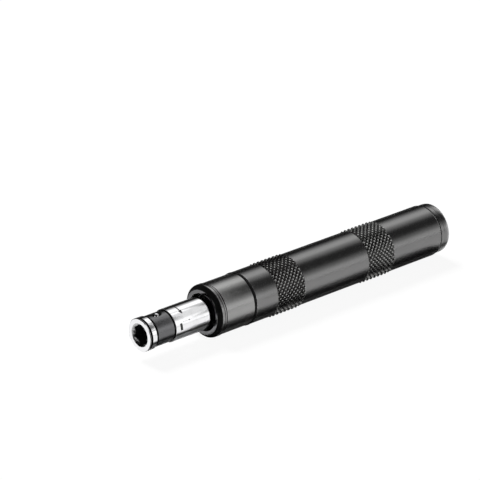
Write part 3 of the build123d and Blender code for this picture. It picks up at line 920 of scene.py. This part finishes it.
def trim_and_fade(band, start):
    """Cut a band off at its ends, and fade it there into the plain barrel."""
    weld = 0.001 * MM
    on_plane = 0.0001 * MM
    end_radius = body_radius - 0.02 * MM
    end = start + knurl_length
    mesh = bmesh.new()
    mesh.from_mesh(band.data)
    bmesh.ops.remove_doubles(mesh, verts=mesh.verts, dist=weld)
    for x, facing in ((start + fade_length, 0), (end - fade_length, 0), (start, -1), (end, 1)):
        trimmed = bmesh.ops.bisect_plane(
            mesh,
            geom=mesh.verts[:] + mesh.edges[:] + mesh.faces[:],
            dist=on_plane,
            plane_co=(x, 0, 0),
            plane_no=(facing or 1, 0, 0),
            clear_outer=facing != 0,
        )
        if facing:
            edges = [item for item in trimmed["geom_cut"] if isinstance(item, bmesh.types.BMEdge)]
            bmesh.ops.holes_fill(mesh, edges=edges)
    for vertex in mesh.verts:
        inward = min(vertex.co.x - start, end - vertex.co.x)
        if inward < fade_length:
            share = 1 - max(inward, 0) / fade_length
            y, z = vertex.co.y, vertex.co.z - axis_height
            radius = hypot(y, z)
            faded = radius + (end_radius - radius) * share
            vertex.co.y = y * faded / radius
            vertex.co.z = axis_height + z * faded / radius
    bmesh.ops.recalc_face_normals(mesh, faces=mesh.faces)
    mesh.to_mesh(band.data)
    mesh.free()
    return band


def knurled_band(name, start, tree, sizes):
    """One band of diamonds, made a little too long and then trimmed."""
    overlap = 1.03
    top_share = 0.3
    rows_along = 2 * diamonds_along
    base_radius = crest_radius - groove_depth
    band = placed(name, bmesh.new(), [])
    modifier = band.modifiers.new("knurl", "NODES")
    modifier.node_group = tree
    values = {
        "Start": start,
        "Row Step": knurl_length / rows_along,
        "Crest Radius": crest_radius,
        "Base Radius": base_radius,
        "Half Width": base_radius * tan(pi / diamonds_around) * overlap,
        "Top Share": top_share,
        "Axis Height": axis_height,
        "Diamonds Around": diamonds_around,
        "Rows": int(rows_along) + 2,
    }
    for socket, value in values.items():
        modifier[sizes[socket]] = value
    return trim_and_fade(settled(band), start)


def make_barrel(black, matt_shade):
    """Barrel shell: sunk under the knurls, with eased ends and a worn bevel at the rear."""
    front = barrel_low[0]
    rear = barrel_high[0]
    core = crest_radius - groove_depth + 0.03 * MM
    front_bevel = 0.06 * MM
    bore = 8.124 * MM
    mid_bore = 6.0 * MM
    cap_bore = 6.954 * MM
    corners = [
        # Matt black on the front face and the rear seam chamfer is painted shade between the pieces.
        (front, bore, 0, matt_shade),
        (front, body_radius - front_bevel, hair_edge),
        (front + front_bevel, body_radius, hair_edge),
    ]
    for start in knurl_starts:
        end = start + knurl_length
        corners += [
            (start, body_radius, fine_edge),
            (start + fade_length, core, 0),
            (end - fade_length, core, 0),
            (end, body_radius, fine_edge),
        ]
    corners += [
        (rear - 0.75 * MM, body_radius, fine_edge),
        (rear - 0.1 * MM, cap_radius, 0.03 * MM, matt_shade),
        (rear, cap_radius - 0.3 * MM, hair_edge, matt_shade),
        (rear, cap_bore, 0),
        (cap_thread_front, cap_bore, 0),
        (cap_thread_front, mid_bore, 0),
        (cam_rear, mid_bore, 0),
        (cam_rear, bore, 0),
    ]
    return crisp(turned("barrel_shell", corners, [black, matt_shade]))


# Striking cap


def make_striking_cap(black, matt_shade):
    """Cap with a soft rim, a fine line round it and its long shank inside the barrel."""
    rim = cap_high[0]
    head = rim - 4.1 * MM
    shank_front = cap_low[0]
    thread_radius = 6.934 * MM
    pilot_radius = 5.984 * MM
    line = head + 1.55 * MM
    line_width = 0.08 * MM
    line_depth = 0.07 * MM
    rim_round = 1.05 * MM
    dome_height = 0.03 * MM
    dome_round = 0.6 * MM
    flat_radius = 5.2 * MM
    corners = [
        (shank_front, 0.0, 0),
        (shank_front, pilot_radius, full_edge),
        (cap_thread_front, pilot_radius, 0),
        (cap_thread_front, thread_radius, full_edge),
        # Matt black on the face behind the head is painted shade in the seam with the barrel.
        (head, thread_radius, 0, matt_shade),
        (head, cap_radius - 0.3 * MM, hair_edge, matt_shade),
        (head + 0.1 * MM, cap_radius, 0.03 * MM),
        (line - line_width, cap_radius, hair_edge),
        (line, cap_radius - line_depth, hair_edge),
        (line + line_width, cap_radius, hair_edge),
        (rim - dome_height, cap_radius, rim_round),
        (rim, flat_radius, dome_round),
        (rim, 0.0, 0),
    ]
    return crisp(turned("striking_cap_head", corners, [black, matt_shade], closed=False))


# Return spring


def make_return_spring(steel):
    """Round wire wound in open turns between two close ones, with its ends cut square."""
    wire_radius = 0.6 * MM
    turns = 11
    close_pitch = 1.7 * MM
    steps_per_turn = 32
    sides = 12
    coil_radius = outer_radius(spring_low, spring_high) - wire_radius
    round_way = 2 * pi * coil_radius
    travel = spring_high[0] - spring_low[0] - 2 * wire_radius
    open_pitch = (travel - 2 * close_pitch) / (turns - 2)
    rows = []
    for step in range(turns * steps_per_turn + 1):
        wound = step / steps_per_turn
        opened = min(max(wound - 1, 0), turns - 2)
        x = spring_low[0] + wire_radius + open_pitch * opened + close_pitch * (wound - opened)
        angle = 2 * pi * wound
        outward = Vector((0, cos(angle), sin(angle)))
        middle = Vector((x, 0, axis_height)) + outward * coil_radius
        forward = Vector((open_pitch, -round_way * sin(angle), round_way * cos(angle)))
        aside = forward.normalized().cross(outward)
        loop = []
        for side in range(sides):
            round_wire = 2 * pi * side / sides
            reach = outward * cos(round_wire) + aside * sin(round_wire)
            loop.append(tuple(middle + reach * wire_radius))
        if step == 0:
            rows.append(([tuple(middle)], steel))
        rows.append((loop, steel))
    rows.append(([tuple(middle)], steel))
    return crisp(skinned("return_spring_coil", rows, [steel], closed=False))


# The pieces, their finishes and their bodies

body_dark = (0.201, 0.2, 0.199)
collar_dark = (0.298, 0.297, 0.294)
nose_dark = (0.231, 0.23, 0.228)
nose_wear = (nut_low[0] + 1.6 * MM,)
collar_wear = (nose_seam + 0.26 * MM, ring_low[0] - 0.12 * MM)
barrel_wear = (barrel_low[0] + 0.07 * MM, barrel_high[0] - 0.35 * MM)

chrome = polished_chrome("chrome_plate")
# Socket walls and bores: dark steel as painted shade.
shaded_walls = shaded_socket_steel("socket_walls_painted_shade")
# The mouth's cone: worn grey plate, made darker than the chrome as painted shade for its dark reflections.
worn_shaded_plate = bare_turned("mouth_worn_plate_painted_shade", grey(0.5), 0.28)
fill = filled_mark("mark_fill")
# Matt black coat: mostly painted shade in seams, grooves, gaps and recesses.
matt_shade = matt_black_shade("matt_black_rings_painted_shade")
ball_finish = polished_chrome("ball_steel_polished", (0.8, 0.8, 0.81), 0.05)
oxide = satin_black("black_oxide_satin", (0.14, 0.14, 0.144))
nose_finish = satin_black("nose_black_satin", nose_dark, nose_wear, 0.12 * MM)
nose_face = satin_black("nose_face_glossy", (0.15, 0.15, 0.155), roughness=0.12)
collar_finish = satin_black("collar_black_satin", collar_dark, collar_wear, 0.12 * MM)
barrel_finish = satin_black("barrel_black_satin", body_dark, barrel_wear, 0.2 * MM)
knurl_finish = knurled_black("knurl_black_rubbed_painted_highlight", (0.164, 0.163, 0.161))
cap_finish = struck_black("cap_black_struck", body_dark, cap_high[0])
rubber = moulded_rubber("rubber_black")
clip_steel = bare_turned("circlip_spring_steel", (0.2, 0.2, 0.21), 0.35)
spring_steel = bare_turned("return_spring_steel", (0.3, 0.3, 0.32), 0.35)
inner_steel = bare_turned("inner_ground_steel", (0.5, 0.5, 0.51), 0.3)
bronze = sintered_bronze("bush_bronze")

holder = make_bit_holder(chrome, shaded_walls, worn_shaded_plate, matt_shade, fill)
finished(holder, "bit_spindle", "chrome", "bit_holder")
finished(make_retaining_sleeve(oxide, matt_shade), "bit_spindle", "black_oxide", "retaining_sleeve")
finished(make_nose_nut(nose_finish, nose_face, matt_shade), "tool_body", "nose_black", "nose_nut")
finished(make_dust_seal(rubber), "tool_body", "black_rubber", "dust_seal")
finished(make_circlip(clip_steel), "tool_body", "spring_steel", "nose_circlip")
finished(make_front_collar(collar_finish, matt_shade), "tool_body", "black_body", "front_collar")
finished(make_collar_ring(rubber), "tool_body", "black_rubber", "collar_ring")
finished(make_barrel(barrel_finish, matt_shade), "tool_body", "black_body", "barrel")
tree, sizes = knurl_tree(knurl_finish)
for name, start in zip(("front_knurl", "rear_knurl"), knurl_starts):
    finished(knurled_band(name, start, tree, sizes), "tool_body", "black_body", "barrel")
finished(make_striking_cap(cap_finish, matt_shade), "tool_body", "cap_black", "striking_cap")
spring = make_return_spring(spring_steel)
finished(spring, "tool_body", "spring_steel", "return_spring")
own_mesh(spring)

carried = {
    ball_finish: ("detent_ball", "pivot_ball"),
    inner_steel: (
        "holder_screw", "spindle", "drive_pin", "stop_washer",
        "cam_sleeve", "cam_dowels", "spring_plunger", "spring_seat",
    ),
    bronze: ("nose_bush",),
    rubber: ("cap_ring",),
}
for finish, names in carried.items():
    for name in names:
        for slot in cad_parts[name].material_slots:
            slot.material = finish


# Floor, light and camera


def make_floor(reflected_shade_tones):
    """Pale floor that shows white to the camera and keeps the shadow. In reflections alone it carries painted
    shade: it is dark past the mouth, and elsewhere has painted tones across the tool, each (y in millimetres,
    brightness), which give a painted contact shadow just in front of the tool and painted shade far behind
    it."""
    floor_size = 8.0
    pale = 0.94
    dark = 0.05
    white_share = 0.9
    white_strength = 1.03
    nearest = -40 * MM
    spread = 120 * MM
    dark_past = (mouth + 6 * MM, 4 * MM)
    darkest_at = (mouth - 4 * MM, -6 * MM)
    paper = bpy.data.materials.new("paper_white")
    paper.use_nodes = True
    net = Network(paper.node_tree)
    shader = net.nodes["Principled BSDF"]
    shader.inputs["Roughness"].default_value = 0.9
    shader.inputs["Specular IOR Level"].default_value = 0.0
    rays = net.add("ShaderNodeLightPath").outputs
    place = net.split(net.add("ShaderNodeTexCoord").outputs["Object"])
    # Painted contact shadow and far shade across the tool, for reflections only.
    across = net.eased_range(place["Y"], nearest, nearest + spread, kind="LINEAR")
    painted_shade = net.grey_ramp(across, [((y * MM - nearest) / spread, shade) for y, shade in reflected_shade_tones])
    # Painted shade: in reflections the floor goes dark past the mouth.
    past = [
        net.eased_range(place[way], first, last)
        for way, first, last in zip(("X", "Y"), dark_past, darkest_at)
    ]
    reflected = net.blend(net.product(*past), painted_shade, grey(dark))
    net.join(net.blend(rays["Is Glossy Ray"], grey(pale), reflected), shader.inputs["Base Color"])
    white = net.add("ShaderNodeEmission")
    white.inputs["Color"].default_value = (1, 1, 1, 1)
    white.inputs["Strength"].default_value = white_strength
    to_camera = net.product(rays["Is Camera Ray"], white_share)
    surfaces = (to_camera, shader.outputs["BSDF"], white.outputs["Emission"])
    both = net.fill(net.add("ShaderNodeMixShader"), surfaces)
    net.join(both.outputs[0], net.nodes["Material Output"].inputs["Surface"])
    mesh = bmesh.new()
    bmesh.ops.create_grid(mesh, x_segments=1, y_segments=1, size=floor_size / 2)
    floor = placed("floor", mesh, [paper])


def softbox(name, place, aim, size, brightness, in_reflections=True):
    """Area lamp at a place, facing another, that shines as bright as a colour of that value."""
    light = bpy.data.lights.new(name, "AREA")
    light.shape = "RECTANGLE"
    light.size, light.size_y = size
    light.energy = brightness * pi * size[0] * size[1]
    lamp = bpy.data.objects.new(name, light)
    lamp.location = place
    lamp.rotation_euler = (Vector(place) - Vector(aim)).to_track_quat("Z", "Y").to_euler()
    lamp.visible_camera = False
    lamp.visible_glossy = in_reflections
    bpy.context.scene.collection.objects.link(lamp)


def make_world(panels):
    """White to the camera, an even soft light for surfaces, and in reflections a dark room with
    pale panels along the tool. A panel point is (degrees up from the front, brightness)."""
    even_light = 0.05
    room_dark, room_lit = -0.2, 0.35
    brightest = max(brightness for degrees, brightness in panels)
    world = bpy.data.worlds.new("studio")
    world.use_nodes = True
    net = Network(world.node_tree)
    back = net.nodes["Background"].inputs
    back["Color"].default_value = (1, 1, 1, 1)
    rays = net.add("ShaderNodeLightPath").outputs
    way = net.split(net.add("ShaderNodeTexCoord").outputs["Generated"])
    angle = net.calculate("ARCTAN2", way["Z"], net.product(way["Y"], -1.0))
    stops = [(degrees / 180, brightness / brightest) for degrees, brightness in panels]
    room = net.product(net.grey_ramp(net.calculate("DIVIDE", angle, pi), stops), brightest)
    room = net.product(room, net.eased_range(way["X"], room_dark, room_lit))
    around_tool = net.mix(rays["Is Glossy Ray"], even_light, room)
    net.join(net.mix(rays["Is Camera Ray"], around_tool, 1.0), back["Strength"])
    bpy.context.scene.world = world


def make_camera():
    """Camera of the photograph, placed by the middle of the socket's mouth."""
    picture = 480
    mouth_pixel = (139.6, 335.3)
    azimuth = radians(-41.6)
    elevation = radians(23.44)
    distance = 972 * MM
    data = bpy.data.cameras.new("photo_camera")
    data.sensor_width = 36
    data.lens = 220
    data.clip_start = 0.01
    data.clip_end = 20
    camera = bpy.data.objects.new("photo_camera", data)
    back = Vector((sin(azimuth) * cos(elevation), -cos(azimuth) * cos(elevation), sin(elevation)))
    right = Vector((cos(azimuth), sin(azimuth), 0))
    up = back.cross(right)
    scale = distance / (data.lens / data.sensor_width * picture)
    target = Vector((mouth, 0, axis_height))
    target += right * (picture / 2 - mouth_pixel[0]) * scale
    target += up * (mouth_pixel[1] - picture / 2) * scale
    camera.location = target + back * distance
    camera.rotation_euler = back.to_track_quat("Z", "Y").to_euler()
    bpy.context.scene.collection.objects.link(camera)
    bpy.context.scene.camera = camera


# The first two points of the tones are the ends of their ramp. These tones are painted shade on the floor,
# seen only in reflections: a contact shadow just in front of the tool, and shade far behind it.
reflected_shade_tones = (
    (-40, 0.94), (80, 0.05), (-14, 0.94), (-11, 0.18), (-9, 0.18), (-7, 0.94), (30, 0.94),
)
make_floor(reflected_shade_tones)
panels = (
    (0, 1.2), (12, 1.15), (30, 0.42), (46, 0.07), (74, 0.06),
    (92, 0.6), (108, 1.4), (122, 1.25), (136, 0.5), (149, 0.02), (168, 0.01), (180, 0.12),
)
make_world(panels)
key_place = (0.0, 1.98, 3.0)
key_size = (1.2, 1.2)
key_brightness = 34.0
softbox("key", key_place, (0.0, 0.0, 0.0), key_size, key_brightness, in_reflections=False)
card_front = -45.3 * MM
card_height = 74.4 * MM
card_length = 125 * MM
card_brightness = 0.8
for name, middle, width in (("shaft_card", 5 * MM, 18 * MM), ("mouth_card", -11 * MM, 4 * MM)):
    place = (middle, card_front, card_height)
    softbox(name, place, (middle, 0.0, axis_height), (width, card_length), card_brightness)
front_card_place = (mouth - 45 * MM, -17 * MM, 44 * MM)
front_card_size = (30 * MM, 30 * MM)
front_card_brightness = 1.0
front_card_aim = (mouth, 0.0, axis_height)
softbox("front_card", front_card_place, front_card_aim, front_card_size, front_card_brightness)
make_camera()
bpy.context.scene.view_settings.view_transform = "Standard"
